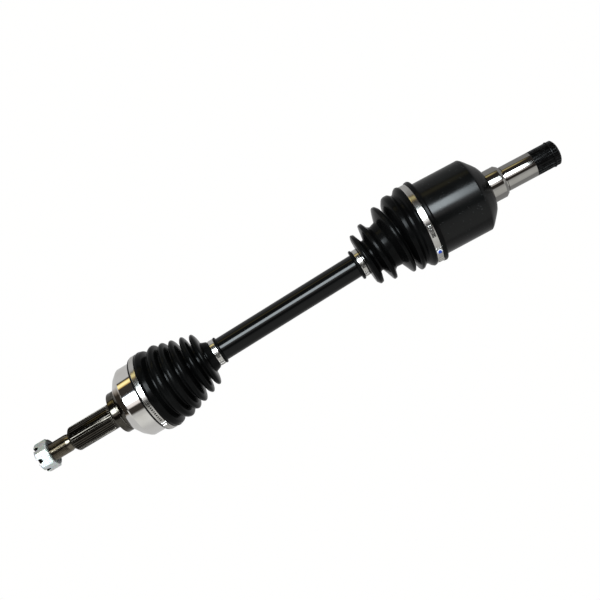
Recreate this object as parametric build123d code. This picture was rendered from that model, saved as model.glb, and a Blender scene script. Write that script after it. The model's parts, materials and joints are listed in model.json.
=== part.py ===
from build123d import *
import math
import os

# A front half shaft (CV axle) lying bent on a flat surface, in millimetres.
# +X runs along the bar from the wheel end to the gearbox end, +Z is up, and the
# origin is on the bar's axis, half way between the two joint centres.

# ---- Layout -----------------------------------------------------------------
JOINT_X = 189.0                 # each joint's centre, from the origin
OUT_DROOP, OUT_YAW = 10.5, 0.87   # how the wheel-end joint hangs and turns at rest
IN_DROOP, IN_YAW = 4.0, 3.77      # the same for the gearbox-end joint

# ---- Wheel-end joint: six balls in a cage -----------------------------------
BALL_COUNT = 6
BALL_R = 7.0
BALL_PITCH_R = 24.5             # ball centres, from the joint's centre
GROOVE_R = 8.0                  # ball track, wide enough for the balls' small side shift
RACE_R, RACE_HALF = 21.5, 10.0  # inner race: ball-shaped outside, and half its width
CAGE_IN_R, CAGE_OUT_R, CAGE_HALF = 21.9, 27.0, 10.5
WINDOW_R = 7.1                  # window in the cage for each ball
BELL_IN_R = 27.4                # ball-shaped inside of the bell
BELL_FLOOR = 22.0               # flat bottom of the bell's cavity
BELL_R, BELL_SEAT_R = 40.4, 39.8
BELL_MOUTH = -20.0              # open end of the bell, towards the bar
BELL_SEAT = -10.6               # where the boot's seat starts
BELL_MOUTH_R = 36.5             # inside radius at the open end
BELL_THROAT_R = 26.0            # where the flared mouth meets the ball-shaped inside
TRACK_HALF_ANGLE = 21.5         # how far each ball travels along its track

# ---- Wheel-end stub ---------------------------------------------------------
COLLAR_R, COLLAR_FACE, COLLAR_BACK = 23.8, 31.1, 24.2
HUB_SPLINE_TEETH, HUB_SPLINE_R, HUB_SPLINE_ROOT = 33, 14.2, 13.0
HUB_SPLINE_START, HUB_SPLINE_END = 38.0, 91.8
SPLINE_CHAMFER = 4.0
THREAD_R, THREAD_RELIEF_R, RELIEF_END = 10.0, 9.0, 96.5
STUB_END = 134.0
COTTER_R, COTTER_SETBACK = 1.7, 4.6   # hole across the stub's end, in line with two nut slots

# ---- Hub nut ----------------------------------------------------------------
NUT_FLATS, NUT_BACK, NUT_FRONT = 30.0, 116.8, 133.0
NUT_FLANGE_R, NUT_FLANGE = 15.6, 1.6
NUT_BORE_R = 10.05
NUT_SLOTS, NUT_SLOT_WIDTH, NUT_SLOT_DEPTH = 6, 5.0, 6.3
NUT_TURN = -1.0                 # how far the hexagon is turned from the hinge axis

# ---- Bar --------------------------------------------------------------------
BAR_R, BAR_SPLINE_R = 13.0, 11.5
BAR_SHOULDER = 11.2             # the race and the spider stop here, from the joint's centre
BAR_END = 14.0
CLIP_GROOVE_R, CLIP_R = 10.4, 12.8
CLIP_SPAN = (1.4, 2.6)          # the clip groove, back from the bar's end
OUT_BOOT_GROOVE_R, OUT_BOOT_GROOVE = 12.0, (-100.5, -88.0)
IN_BOOT_GROOVE_R, IN_BOOT_GROOVE = 12.3, (81.2, 93.0)

# ---- Gearbox-end joint: three rollers on a spider ---------------------------
TRUNNIONS, FIRST_TRUNNION = 3, 0.0   # the first trunnion lies on the hinge axis
TRACK_PITCH_R = 24.5            # roller centres, from the joint's centre
ROLLER_R, ROLLER_HALF = 15.7, 7.5
ROLLER_BORE_R = 11.1
TRUNNION_R, TRUNNION_END = 8.5, 33.0
TRUNNION_SHOULDER_R, TRUNNION_SHOULDER = 10.5, 17.2
NEEDLE_R, NEEDLE_RING_R, NEEDLE_COUNT = 1.25, 9.8, 23
NEEDLE_SPAN = (17.4, 30.6)
RETAINER_SPAN, RETAINER_OUT_R, RETAINER_GROOVE_R = (30.8, 32.0), 10.6, 7.8
SPIDER_R, SPIDER_HALF = 16.0, 11.0
TRACK_R, TRACK_CROWN_R, CORE_R = 16.8, 35.8, 27.0

# ---- Housing and its stub ---------------------------------------------------
HOUSING_R, HOUSING_MOUTH, HOUSING_FLOOR = 42.0, -31.5, 38.5
HOUSING_EDGE = 39.8             # where the cup's outside starts to round in
MOUTH_FLARE_R, MOUTH_FLARE = 37.5, 9.5
SEAL_LAND_R, SEAL_LAND_START, SEAL_LAND_END = 18.3, 57.8, 72.8
JOURNAL_R, JOURNAL_START, JOURNAL_END = 14.1, 76.4, 113.3
BOX_SPLINE_TEETH, BOX_SPLINE_R, BOX_SPLINE_ROOT, BOX_SPLINE_END = 26, 14.1, 13.0, 143.7
BOX_SPLINE_CHAMFER = 2.2
CIRCLIP_GROOVE, CIRCLIP_GROOVE_R, CIRCLIP_R = (134.2, 136.2), 12.4, 14.9

RING_GAP = 3.0                  # gap in every snap ring

# ---- Boots: (distance from the joint's centre, outside radius) --------------
BOOT_WALL = 2.4
OUT_BOOT = [(10.6, 42.2), (12.2, 43.9), (19.4, 43.9), (22.5, 45.0), (30.0, 37.0), (37.0, 43.3),
            (42.8, 33.5), (47.9, 40.4), (53.4, 29.0), (58.2, 37.4), (64.1, 24.0), (69.5, 34.1),
            (74.9, 21.0), (79.9, 31.0), (85.0, 18.0), (89.7, 16.0), (91.5, 14.3), (98.0, 14.3),
            (98.4, 15.4), (100.7, 15.4)]
OUT_BOOT_SEAT, OUT_BOOT_SEAT_R = 20.6, 40.5
OUT_BOOT_NECK, OUT_BOOT_NECK_R = 90.0, 12.1
OUT_BEND = (31.0, 78.0)         # the stretch over which the boot bends
IN_BOOT = [(16.4, 46.9), (20.6, 47.0), (21.2, 44.9), (29.2, 44.9), (29.6, 46.8), (33.6, 46.4),
           (38.6, 41.3), (46.4, 44.3), (53.4, 31.0), (58.4, 41.0), (69.6, 26.0), (80.1, 35.2),
           (86.8, 19.5), (93.9, 30.6), (97.4, 17.4), (98.2, 15.4), (104.2, 15.4), (104.6, 17.4),
           (107.5, 17.4)]
IN_BOOT_SEAT, IN_BOOT_SEAT_R = 31.8, 42.1
IN_BOOT_NECK, IN_BOOT_NECK_R = 97.0, 12.4
IN_BEND = (40.0, 92.0)

# ---- Clamps: (inner radius, outer radius, start, end) from the joint's centre
OUT_LARGE_CLAMP = (44.0, 44.8, 12.9, 18.9)
OUT_SMALL_CLAMP = (14.4, 14.9, 91.8, 97.7)
IN_LARGE_CLAMP = (45.0, 45.8, 21.7, 28.9)
IN_SMALL_CLAMP = (15.5, 16.0, 98.4, 104.0)
EAR_HEIGHT, EAR_WIDTH = 2.6, 7.0
EAR_RISE = 28.0                 # how far above the -Y side each ear sits, in degrees


# ---- Frames -----------------------------------------------------------------
def direction(droop, yaw, side):
    """Outward axis of a joint's outer member: side is -1 at the wheel end, 1 at the gearbox end."""
    flat = math.cos(math.radians(droop))
    sideways = -math.sin(math.radians(yaw)) * side
    return Vector(side * flat * math.cos(math.radians(yaw)), flat * sideways,
                  -math.sin(math.radians(droop)))


def joint_frames(side, droop, yaw):
    """Frames at a joint: on the bar, half way, and on the outer member. Local Z points outward
    and local X is the hinge axis, at right angles to both the bar and the outer member."""
    centre = Vector(side * JOINT_X, 0, 0)
    along_bar = Vector(side, 0, 0)
    outward = direction(droop, yaw, side)
    hinge = along_bar.cross(outward).normalized()
    middle = (along_bar + outward).normalized()
    return [Plane(origin=centre, x_dir=hinge, z_dir=z) for z in (along_bar, middle, outward)]


OUT_BAR, OUT_CAGE, OUT_BELL = joint_frames(-1, OUT_DROOP, OUT_YAW)
IN_BAR, _, IN_HOUSING = joint_frames(1, IN_DROOP, IN_YAW)


# ---- Building blocks --------------------------------------------------------
def turned(points):
    """A solid turned about Z from a closed outline of (radius, height) points."""
    return revolve(make_face(Plane.XZ * Polyline(*points, close=True)), axis=Axis.Z)


def tube(inner, outer, low, high):
    return turned([(inner, low), (outer, low), (outer, high), (inner, high)])


def splined(teeth, tip, root, low, high, chamfer):
    """A splined length: straight-sided teeth with a chamfer at the outer end."""
    outline = []
    for tooth in range(teeth):
        for part, radius in ((-0.30, root), (-0.17, tip), (0.17, tip), (0.30, root)):
            angle = 2 * math.pi * (tooth + part) / teeth
            outline.append((radius * math.cos(angle), radius * math.sin(angle)))
    toothed = Pos(0, 0, low) * extrude(make_face(Polyline(*outline, close=True)), amount=high - low)
    envelope = turned([(0, low), (tip + 1, low), (tip + 1, high - chamfer),
                       (root - 1.5, high), (0, high)])
    return toothed & envelope


def around(count, first=0.0):
    return [first + 360.0 * i / count for i in range(count)]


def radial(angle):
    """A frame at the centre whose local Z points outward in the XY plane at this angle."""
    turn = math.radians(angle)
    return Plane(origin=(0, 0, 0), x_dir=(0, 0, 1), z_dir=(math.cos(turn), math.sin(turn), 0))


def open_ring(inner, outer, low, high, gap):
    """A snap ring: a flat ring with a gap."""
    return tube(inner, outer, low, high) - Pos(outer, 0, (low + high) / 2) * Box(outer, gap, 9)


def bellows(profile, seat, neck, frames, bend, wall=BOOT_WALL):
    """A folded rubber tube that leaves the outer member's axis and bends onto the bar's."""
    bar, outer = frames

    def rings(stations):
        made = []
        for distance, radius in stations:
            part = min(1.0, max(0.0, (bend[1] - distance) / (bend[1] - bend[0])))
            part = part * part * (3 - 2 * part)
            on_bar = bar.origin - bar.z_dir * distance
            on_outer = outer.origin - outer.z_dir * distance
            centre = on_bar * (1 - part) + on_outer * part
            axis = (bar.z_dir * (1 - part) + outer.z_dir * part).normalized()
            plane = Plane(origin=centre, x_dir=bar.x_dir, z_dir=-axis)
            made.append(plane * Circle(radius))
        return made

    inside = [(profile[0][0] - 1.0, seat[1]), (seat[0], seat[1])]
    inside += [(d, r - wall) for d, r in profile if seat[0] < d < neck[0]]
    inside += [(neck[0], neck[1]), (profile[-1][0] + 1.0, neck[1])]
    return loft(rings(profile), ruled=True) - loft(rings(inside), ruled=True)


def band(size, frame):
    """A crimped boot band: a thin ring with a raised ear on its -Y side."""
    inner, outer, low, high = size
    ear_side = Vector(0, -math.cos(math.radians(EAR_RISE)), math.sin(math.radians(EAR_RISE)))
    side_angle = math.degrees(math.atan2(ear_side.dot(frame.y_dir), ear_side.dot(frame.x_dir)))
    middle = -(low + high) / 2
    ring = tube(inner, outer, -high, -low)
    ear = Pos(outer + EAR_HEIGHT / 2 - 0.3, 0, middle) * Box(EAR_HEIGHT, EAR_WIDTH, high - low - 1.0)
    ear = fillet(ear.edges().filter_by(Axis.Z).group_by(Axis.X)[-1], 1.2)
    return frame * (ring + Rot(0, 0, side_angle) * ear)


# ---- Wheel-end pieces -------------------------------------------------------
def outboard_bell():
    """The wheel-end housing: bell, collar, splined and threaded stub in one forging."""
    body = turned([(0, BELL_MOUTH), (BELL_SEAT_R, BELL_MOUTH), (BELL_SEAT_R, BELL_SEAT),
                   (BELL_R, BELL_SEAT), (BELL_R, 7.8), (39.2, 9.5), (37.8, 11.6), (35.5, 14.0),
                   (32.6, 15.6), (30.1, 17.2), (26.6, 20.2), (23.4, 23.2), (22.8, COLLAR_BACK),
                   (COLLAR_R, COLLAR_BACK), (COLLAR_R, COLLAR_FACE),
                   (HUB_SPLINE_R + 0.9, COLLAR_FACE), (HUB_SPLINE_ROOT, HUB_SPLINE_START),
                   (HUB_SPLINE_ROOT, HUB_SPLINE_END - SPLINE_CHAMFER),
                   (THREAD_RELIEF_R, HUB_SPLINE_END), (THREAD_RELIEF_R, RELIEF_END - 1.0),
                   (THREAD_R, RELIEF_END), (THREAD_R, STUB_END - 1.5), (8.4, STUB_END),
                   (0, STUB_END)])
    body += splined(HUB_SPLINE_TEETH, HUB_SPLINE_R, HUB_SPLINE_ROOT, HUB_SPLINE_START,
                    HUB_SPLINE_END, SPLINE_CHAMFER)
    floor_r = math.sqrt(BELL_IN_R ** 2 - BELL_FLOOR ** 2)
    throat = -math.sqrt(BELL_IN_R ** 2 - BELL_THROAT_R ** 2)
    arc = ThreePointArc((floor_r, BELL_FLOOR), (BELL_IN_R, 0), (BELL_THROAT_R, throat))
    rest = Polyline((BELL_THROAT_R, throat), (BELL_MOUTH_R, BELL_MOUTH), (BELL_MOUTH_R, BELL_MOUTH - 1),
                    (0, BELL_MOUTH - 1), (0, BELL_FLOOR), (floor_r, BELL_FLOOR))
    body -= revolve(make_face(Plane.XZ * (arc + rest)), axis=Axis.Z)
    for angle in around(BALL_COUNT):
        body -= Rot(0, 0, angle) * bell_track()
    cotter_hole = Rot(0, 90, 0) * Cylinder(COTTER_R, 3 * THREAD_R)
    body -= Pos(0, 0, STUB_END - COTTER_SETBACK) * Rot(0, 0, NUT_TURN + 90) * cotter_hole
    return OUT_BELL * body


def bell_track():
    """The space one ball sweeps in the bell, open towards the bar."""
    turn = math.radians(TRACK_HALF_ANGLE)
    reach, height = BALL_PITCH_R * math.cos(turn), BALL_PITCH_R * math.sin(turn)
    ring = Rot(90, 0, 0) * Torus(BALL_PITCH_R, GROOVE_R)
    swept = ring & Pos(BALL_PITCH_R, 0, 0) * Box(BALL_PITCH_R, 3 * GROOVE_R, 2 * height)
    for side in (-1, 1):
        swept += Pos(reach, 0, side * height) * Sphere(GROOVE_R)
    length = -BELL_MOUTH - height + 2
    return swept + Pos(reach, 0, -height - length / 2) * Cylinder(GROOVE_R, length)


def inner_race():
    body = Sphere(RACE_R) & Cylinder(RACE_R + 1, 2 * RACE_HALF)
    for angle in around(BALL_COUNT // 2):
        body -= Rot(0, 0, angle) * Rot(90, 0, 0) * Torus(BALL_PITCH_R, GROOVE_R)
    return OUT_BAR * (body - Cylinder(BAR_SPLINE_R, 3 * RACE_HALF))


def ball_cage():
    body = (Sphere(CAGE_OUT_R) - Sphere(CAGE_IN_R)) & Cylinder(CAGE_OUT_R + 1, 2 * CAGE_HALF)
    for angle in around(BALL_COUNT):
        body -= radial(angle) * Pos(0, 0, BALL_PITCH_R) * Cylinder(WINDOW_R, 14)
    return OUT_CAGE * body


def outboard_balls():
    ball = Pos(BALL_PITCH_R, 0, 0) * Sphere(BALL_R)
    return OUT_CAGE * Compound([Rot(0, 0, angle) * ball for angle in around(BALL_COUNT)])


def hub_nut():
    """A castle nut: a hexagon on a thin flange, slotted across the middle of each flat."""
    height = NUT_FRONT - NUT_BACK
    corner = NUT_FLATS / math.sqrt(3)
    body = extrude(RegularPolygon(corner, 6), amount=height)
    body &= turned([(0, 0), (corner + 1, 0), (corner + 1, height - 2.2), (corner - 2.4, height),
                    (0, height)])
    body += tube(0, NUT_FLANGE_R, 0, NUT_FLANGE)
    body -= Cylinder(NUT_BORE_R, 3 * height)
    for angle in around(NUT_SLOTS, 30):
        slot = Pos(NUT_FLATS / 2, 0, height) * Box(NUT_FLATS, NUT_SLOT_WIDTH, 2 * NUT_SLOT_DEPTH)
        body -= Rot(0, 0, angle) * slot
    return OUT_BELL * Pos(0, 0, NUT_BACK) * Rot(0, 0, NUT_TURN) * body


# ---- Bar --------------------------------------------------------------------
def axle_bar():
    spline_out, spline_in = -(JOINT_X - BAR_SHOULDER), JOINT_X - BAR_SHOULDER
    end = JOINT_X + BAR_END
    near, far = end - CLIP_SPAN[1], end - CLIP_SPAN[0]
    points = [(0, -end), (BAR_SPLINE_R - 1, -end), (BAR_SPLINE_R, -end + 1), (BAR_SPLINE_R, -far),
              (CLIP_GROOVE_R, -far), (CLIP_GROOVE_R, -near), (BAR_SPLINE_R, -near),
              (BAR_SPLINE_R, spline_out), (BAR_R, spline_out),
              (BAR_R, OUT_BOOT_GROOVE[0]), (OUT_BOOT_GROOVE_R, OUT_BOOT_GROOVE[0]),
              (OUT_BOOT_GROOVE_R, OUT_BOOT_GROOVE[1]), (BAR_R, OUT_BOOT_GROOVE[1]),
              (BAR_R, IN_BOOT_GROOVE[0]), (IN_BOOT_GROOVE_R, IN_BOOT_GROOVE[0]),
              (IN_BOOT_GROOVE_R, IN_BOOT_GROOVE[1]), (BAR_R, IN_BOOT_GROOVE[1]),
              (BAR_R, spline_in), (BAR_SPLINE_R, spline_in), (BAR_SPLINE_R, near),
              (CLIP_GROOVE_R, near), (CLIP_GROOVE_R, far), (BAR_SPLINE_R, far),
              (BAR_SPLINE_R, end - 1), (BAR_SPLINE_R - 1, end), (0, end)]
    return Rot(0, 90, 0) * turned(points)


def bar_clip(frame):
    """The snap ring that keeps the race or the spider on the bar's end."""
    low, high = BAR_END - CLIP_SPAN[1], BAR_END - CLIP_SPAN[0]
    return frame * open_ring(CLIP_GROOVE_R, CLIP_R, low, high, RING_GAP)


# ---- Gearbox-end pieces -----------------------------------------------------
def tripod_spider():
    body = Cylinder(SPIDER_R, 2 * SPIDER_HALF)
    body = chamfer(body.edges(), 1.2)
    for angle in around(TRUNNIONS, FIRST_TRUNNION):
        body += radial(angle) * tube(0, TRUNNION_R, 0, TRUNNION_END)
        body += radial(angle) * tube(0, TRUNNION_SHOULDER_R, 0, TRUNNION_SHOULDER)
        groove = tube(RETAINER_GROOVE_R, TRUNNION_R + 1, RETAINER_SPAN[0], RETAINER_SPAN[1])
        body -= radial(angle) * groove
    return IN_BAR * (body - Cylinder(BAR_SPLINE_R, 3 * SPIDER_HALF))


def roller(angle):
    low, high = TRACK_PITCH_R - ROLLER_HALF, TRACK_PITCH_R + ROLLER_HALF
    body = Pos(0, 0, TRACK_PITCH_R) * Sphere(ROLLER_R) & tube(0, ROLLER_R + 1, low, high)
    return IN_BAR * radial(angle) * (body - tube(0, ROLLER_BORE_R, low - 1, high + 1))


def needle_set(angle):
    low, high = NEEDLE_SPAN
    needle = Pos(NEEDLE_RING_R, 0, (low + high) / 2) * Cylinder(NEEDLE_R, high - low)
    ring = Compound([Rot(0, 0, turn) * needle for turn in around(NEEDLE_COUNT)])
    return IN_BAR * radial(angle) * ring


def roller_retainer(angle):
    low, high = RETAINER_SPAN
    return IN_BAR * radial(angle) * open_ring(RETAINER_GROOVE_R, RETAINER_OUT_R, low, high, RING_GAP)


def inboard_housing():
    """The gearbox-end housing: a cup with three roller tracks, and its ground, splined stub."""
    body = turned([(0, HOUSING_MOUTH), (HOUSING_R, HOUSING_MOUTH), (HOUSING_R, HOUSING_EDGE),
                   (41.0, 42.2), (38.0, 45.2), (34.2, 48.3), (30.9, 51.4), (26.8, 54.6),
                   (23.0, 56.6), (19.4, 57.6), (SEAL_LAND_R, SEAL_LAND_START),
                   (SEAL_LAND_R, SEAL_LAND_END), (15.8, 76.0), (JOURNAL_R, JOURNAL_START),
                   (JOURNAL_R, JOURNAL_END), (BOX_SPLINE_ROOT, JOURNAL_END + 1.2),
                   (BOX_SPLINE_ROOT, BOX_SPLINE_END - BOX_SPLINE_CHAMFER),
                   (BOX_SPLINE_ROOT - 1.6, BOX_SPLINE_END), (0, BOX_SPLINE_END)])
    body += splined(BOX_SPLINE_TEETH, BOX_SPLINE_R, BOX_SPLINE_ROOT, JOURNAL_END - 0.5,
                    BOX_SPLINE_END, BOX_SPLINE_CHAMFER)
    body -= tube(CIRCLIP_GROOVE_R, JOURNAL_R + 1, *CIRCLIP_GROOVE)
    section = Circle(CORE_R)
    for angle in around(TRUNNIONS, FIRST_TRUNNION):
        section += Rot(0, 0, angle) * Pos(TRACK_PITCH_R, 0) * Circle(TRACK_R)
    section &= Circle(TRACK_CROWN_R)
    depth = HOUSING_FLOOR - HOUSING_MOUTH
    body -= Pos(0, 0, HOUSING_MOUTH) * extrude(section, amount=depth)
    body -= turned([(0, HOUSING_MOUTH), (MOUTH_FLARE_R, HOUSING_MOUTH),
                    (CORE_R, HOUSING_MOUTH + MOUTH_FLARE), (0, HOUSING_MOUTH + MOUTH_FLARE)])
    return IN_HOUSING * body


def stub_circlip():
    return IN_HOUSING * open_ring(CIRCLIP_GROOVE_R, CIRCLIP_R, *CIRCLIP_GROOVE, RING_GAP)


# ---- All pieces -------------------------------------------------------------
def all_nodes():
    nodes = {
        "hub_nut": hub_nut(),
        "outboard_bell": outboard_bell(),
        "ball_cage": ball_cage(),
        "outboard_balls": outboard_balls(),
        "inner_race": inner_race(),
        "inner_race_clip": bar_clip(OUT_BAR),
        "outboard_boot": bellows(OUT_BOOT, (OUT_BOOT_SEAT, OUT_BOOT_SEAT_R),
                                 (OUT_BOOT_NECK, OUT_BOOT_NECK_R), (OUT_BAR, OUT_BELL), OUT_BEND),
        "outboard_large_clamp": band(OUT_LARGE_CLAMP, OUT_BELL),
        "outboard_small_clamp": band(OUT_SMALL_CLAMP, OUT_BAR),
        "axle_bar": axle_bar(),
        "inboard_small_clamp": band(IN_SMALL_CLAMP, IN_BAR),
        "inboard_boot": bellows(IN_BOOT, (IN_BOOT_SEAT, IN_BOOT_SEAT_R),
                                (IN_BOOT_NECK, IN_BOOT_NECK_R), (IN_BAR, IN_HOUSING), IN_BEND),
        "inboard_large_clamp": band(IN_LARGE_CLAMP, IN_HOUSING),
        "inboard_housing": inboard_housing(),
        "tripod_spider": tripod_spider(),
        "spider_clip": bar_clip(IN_BAR),
        "stub_circlip": stub_circlip(),
    }
    for number, angle in enumerate(around(TRUNNIONS, FIRST_TRUNNION), start=1):
        nodes[f"roller_{number}"] = roller(angle)
        nodes[f"needle_set_{number}"] = needle_set(angle)
        nodes[f"roller_retainer_{number}"] = roller_retainer(angle)
    return nodes


os.makedirs("parts", exist_ok=True)
for name, shape in all_nodes().items():
    export_step(shape, f"parts/{name}.step")
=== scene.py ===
import json
import math

import bmesh
import bpy
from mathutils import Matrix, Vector, noise


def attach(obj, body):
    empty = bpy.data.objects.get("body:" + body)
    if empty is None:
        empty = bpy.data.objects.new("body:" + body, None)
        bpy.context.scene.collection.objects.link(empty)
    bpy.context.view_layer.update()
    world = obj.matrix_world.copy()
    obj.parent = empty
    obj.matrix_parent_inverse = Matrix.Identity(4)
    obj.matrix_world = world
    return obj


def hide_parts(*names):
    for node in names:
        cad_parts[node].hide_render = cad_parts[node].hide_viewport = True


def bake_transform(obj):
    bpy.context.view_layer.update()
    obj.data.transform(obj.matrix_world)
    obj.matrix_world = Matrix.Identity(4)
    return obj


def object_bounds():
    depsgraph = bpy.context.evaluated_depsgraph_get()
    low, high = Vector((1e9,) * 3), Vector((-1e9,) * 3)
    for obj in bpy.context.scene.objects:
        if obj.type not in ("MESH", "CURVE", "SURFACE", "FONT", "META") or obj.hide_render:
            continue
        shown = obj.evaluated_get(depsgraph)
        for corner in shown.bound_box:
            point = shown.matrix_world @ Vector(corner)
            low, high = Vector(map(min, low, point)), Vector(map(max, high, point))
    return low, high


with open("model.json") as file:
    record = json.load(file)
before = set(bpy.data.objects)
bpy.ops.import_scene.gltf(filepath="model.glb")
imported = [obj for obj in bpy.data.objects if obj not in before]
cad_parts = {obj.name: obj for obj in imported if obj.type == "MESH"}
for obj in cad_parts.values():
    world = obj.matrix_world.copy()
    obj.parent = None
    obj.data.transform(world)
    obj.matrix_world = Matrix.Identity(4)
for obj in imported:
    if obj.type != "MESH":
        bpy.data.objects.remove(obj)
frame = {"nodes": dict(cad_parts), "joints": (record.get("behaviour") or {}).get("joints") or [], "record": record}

# The looks of a front half shaft. Lengths are in metres, and MM turns millimetres into metres.
MM = 0.001
cad_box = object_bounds()

JOINTS = {joint["name"]: joint for joint in frame["joints"]}
MOUNTS = {mount["name"]: mount for mount in frame["record"]["mounts"]}
UP = Vector((0, 0, 1))
LOW_SIDE = Vector((0, -1, 0))


# ---- Axes -------------------------------------------------------------------
class Axle:
    """A turning axis: a point on it, its direction, and the directions called top and low."""

    def __init__(self, origin, along):
        self.origin = Vector(origin)
        self.along = Vector(along).normalized()
        self.top = (UP - self.along * UP.dot(self.along)).normalized()
        low = self.along.cross(self.top)
        self.low = low if low.dot(LOW_SIDE) > 0 else -low

    def point(self, distance, radius, angle):
        """Distance along the axis; angle in radians from the top towards the low side."""
        arm = self.top * math.cos(angle) + self.low * math.sin(angle)
        return self.origin + self.along * distance + arm * radius


OUT_CENTRE = JOINTS["outboard_bell_bend"]["pos_m"]
IN_CENTRE = JOINTS["inboard_bend"]["pos_m"]
BELL = Axle(OUT_CENTRE, MOUNTS["hub_seat"]["axis"])
HOUSING = Axle(IN_CENTRE, MOUNTS["seal_land"]["axis"])
BAR = Axle((0, 0, 0), (1, 0, 0))
OUT_BAR = Axle(OUT_CENTRE, (-1, 0, 0))
IN_BAR = Axle(IN_CENTRE, (1, 0, 0))
HALF_SPAN = IN_BAR.origin.x


# ---- Mesh helpers -----------------------------------------------------------
def piece(name, verts, faces, material, body, sharp=32.0):
    """A closed mesh with one material, which rides a body if one is given."""
    mesh = bpy.data.meshes.new(name)
    mesh.from_pydata([tuple(v) for v in verts], [], faces)
    mesh.validate()
    obj = bpy.data.objects.new(name, mesh)
    bpy.context.collection.objects.link(obj)
    mesh.materials.append(material)
    outward(mesh)
    shade(obj, sharp)
    if body:
        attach(obj, body)
    return obj


def outward(mesh):
    """Turns a closed mesh's faces outward."""
    work = bmesh.new()
    work.from_mesh(mesh)
    bmesh.ops.remove_doubles(work, verts=work.verts, dist=1e-7)
    bmesh.ops.recalc_face_normals(work, faces=work.faces)
    if work.calc_volume(signed=True) < 0:
        bmesh.ops.reverse_faces(work, faces=work.faces)
    work.to_mesh(mesh)
    work.free()


def shade(obj, sharp):
    """Smooth shading, with edges sharper than an angle in degrees left crisp."""
    obj.data.shade_smooth()
    obj.data.set_sharp_from_angle(angle=math.radians(sharp))


def skin(rings, loop=False):
    """Verts and faces of a closed tube through rings of points; its ends are capped or joined."""
    count = len(rings[0])
    verts = [point for ring in rings for point in ring]
    faces = []
    last = len(rings) if loop else len(rings) - 1
    for row in range(last):
        here, there = row * count, ((row + 1) % len(rings)) * count
        for i in range(count):
            j = (i + 1) % count
            faces.append((here + i, here + j, there + j, there + i))
    if not loop:
        faces.append(tuple(range(count)))
        faces.append(tuple(range((len(rings) - 1) * count, len(rings) * count)))
    return verts, faces


def softened(points, steps=5):
    """An outline whose corners are arcs: points are (distance, height, corner radius)."""
    out = []
    for i, (x, y, radius) in enumerate(points):
        if radius <= 0 or i in (0, len(points) - 1):
            out.append((x, y))
            continue
        here = Vector((x, y))
        before = Vector(points[i - 1][:2]) - here
        after = Vector(points[i + 1][:2]) - here
        if before.length < 1e-9 or after.length < 1e-9:
            out.append((x, y))
            continue
        turn = math.pi - before.angle(after)
        reach = min(radius * math.tan(turn / 2), 0.48 * before.length, 0.48 * after.length)
        start, end = here + before.normalized() * reach, here + after.normalized() * reach
        for k in range(steps + 1):
            t = k / steps
            out.append(tuple(start * (1 - t) ** 2 + here * 2 * t * (1 - t) + end * t * t))
    return out


def lathe(name, axle, outline, material, body, segments=160, radius=None, loop=False,
          sharp=32.0):
    """Turns an outline of (distance, radius) in millimetres about an axle. radius may change
    each point's radius: radius(distance, radius, angle), all in millimetres and radians."""
    rings = []
    for distance, height in outline:
        ring = []
        for i in range(segments):
            angle = 2 * math.pi * i / segments
            here = radius(distance, height, angle) if radius else height
            ring.append(axle.point(distance * MM, here * MM, angle))
        rings.append(ring)
    verts, faces = skin(rings, loop)
    return piece(name, verts, faces, material, body, sharp)


def smooth(t):
    """Rises gently from 0 to 1 as t goes from 0 to 1."""
    t = min(1.0, max(0.0, t))
    return t * t * (3 - 2 * t)


def spaced(low, high, step):
    """Even values from low to high, about a step apart, with both ends."""
    count = max(1, round(abs(high - low) / step))
    return [low + (high - low) * i / count for i in range(count + 1)]


# ---- Materials --------------------------------------------------------------
class Nodes:
    """A short way to write a node tree."""

    def __init__(self, tree):
        self.tree = tree

    def add(self, kind, inputs=None, **settings):
        node = self.tree.nodes.new(kind)
        for key, value in settings.items():
            setattr(node, key, value)
        for key, value in (inputs or {}).items():
            if isinstance(value, bpy.types.NodeSocket):
                self.tree.links.new(value, node.inputs[key])
            else:
                node.inputs[key].default_value = value
        return node

    def ramp(self, factor, stops):
        node = self.add("ShaderNodeValToRGB", {"Fac": factor})
        elements = node.color_ramp.elements
        while len(elements) < len(stops):
            elements.new(0.5)
        for element, (position, colour) in zip(elements, stops):
            element.position = position
            element.color = (*colour, 1)
        return node.outputs["Color"]

    def noise(self, vector, scale, detail=3.0, roughness=0.55):
        node = self.add("ShaderNodeTexNoise", {"Vector": vector, "Scale": scale, "Detail": detail,
                                               "Roughness": roughness})
        return node.outputs["Fac"]

    def spread(self, value, low, high, to_low=0.0, to_high=1.0):
        node = self.add("ShaderNodeMapRange", {"Value": value, "From Min": low, "From Max": high,
                                               "To Min": to_low, "To Max": to_high})
        return node.outputs["Result"]

    def maths(self, operation, a, b=0.0):
        return self.add("ShaderNodeMath", {0: a, 1: b}, operation=operation).outputs[0]

    def mix(self, factor, a, b):
        node = self.add("ShaderNodeMix", data_type="RGBA")
        for index, value in ((0, factor), (6, a), (7, b)):
            if isinstance(value, bpy.types.NodeSocket):
                self.tree.links.new(value, node.inputs[index])
            elif index:
                node.inputs[index].default_value = (*value, 1)
            else:
                node.inputs[index].default_value = value
        return node.outputs[2]

    def bump(self, height, strength, distance, normal=None):
        inputs = {"Height": height, "Strength": strength, "Distance": distance}
        if normal:
            inputs["Normal"] = normal
        return self.add("ShaderNodeBump", inputs).outputs["Normal"]


def new_material(name, metallic=0.0, **sockets):
    """A principled material: returns it, its node helper, its shader and object coordinates."""
    material = bpy.data.materials.new(name)
    material.use_nodes = True
    nodes = Nodes(material.node_tree)
    shader = material.node_tree.nodes["Principled BSDF"]
    shader.inputs["Metallic"].default_value = metallic
    for key, value in sockets.items():
        shader.inputs[key.replace("_", " ")].default_value = value
    coordinates = nodes.add("ShaderNodeTexCoord").outputs["Object"]
    return material, nodes, shader, coordinates


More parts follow.
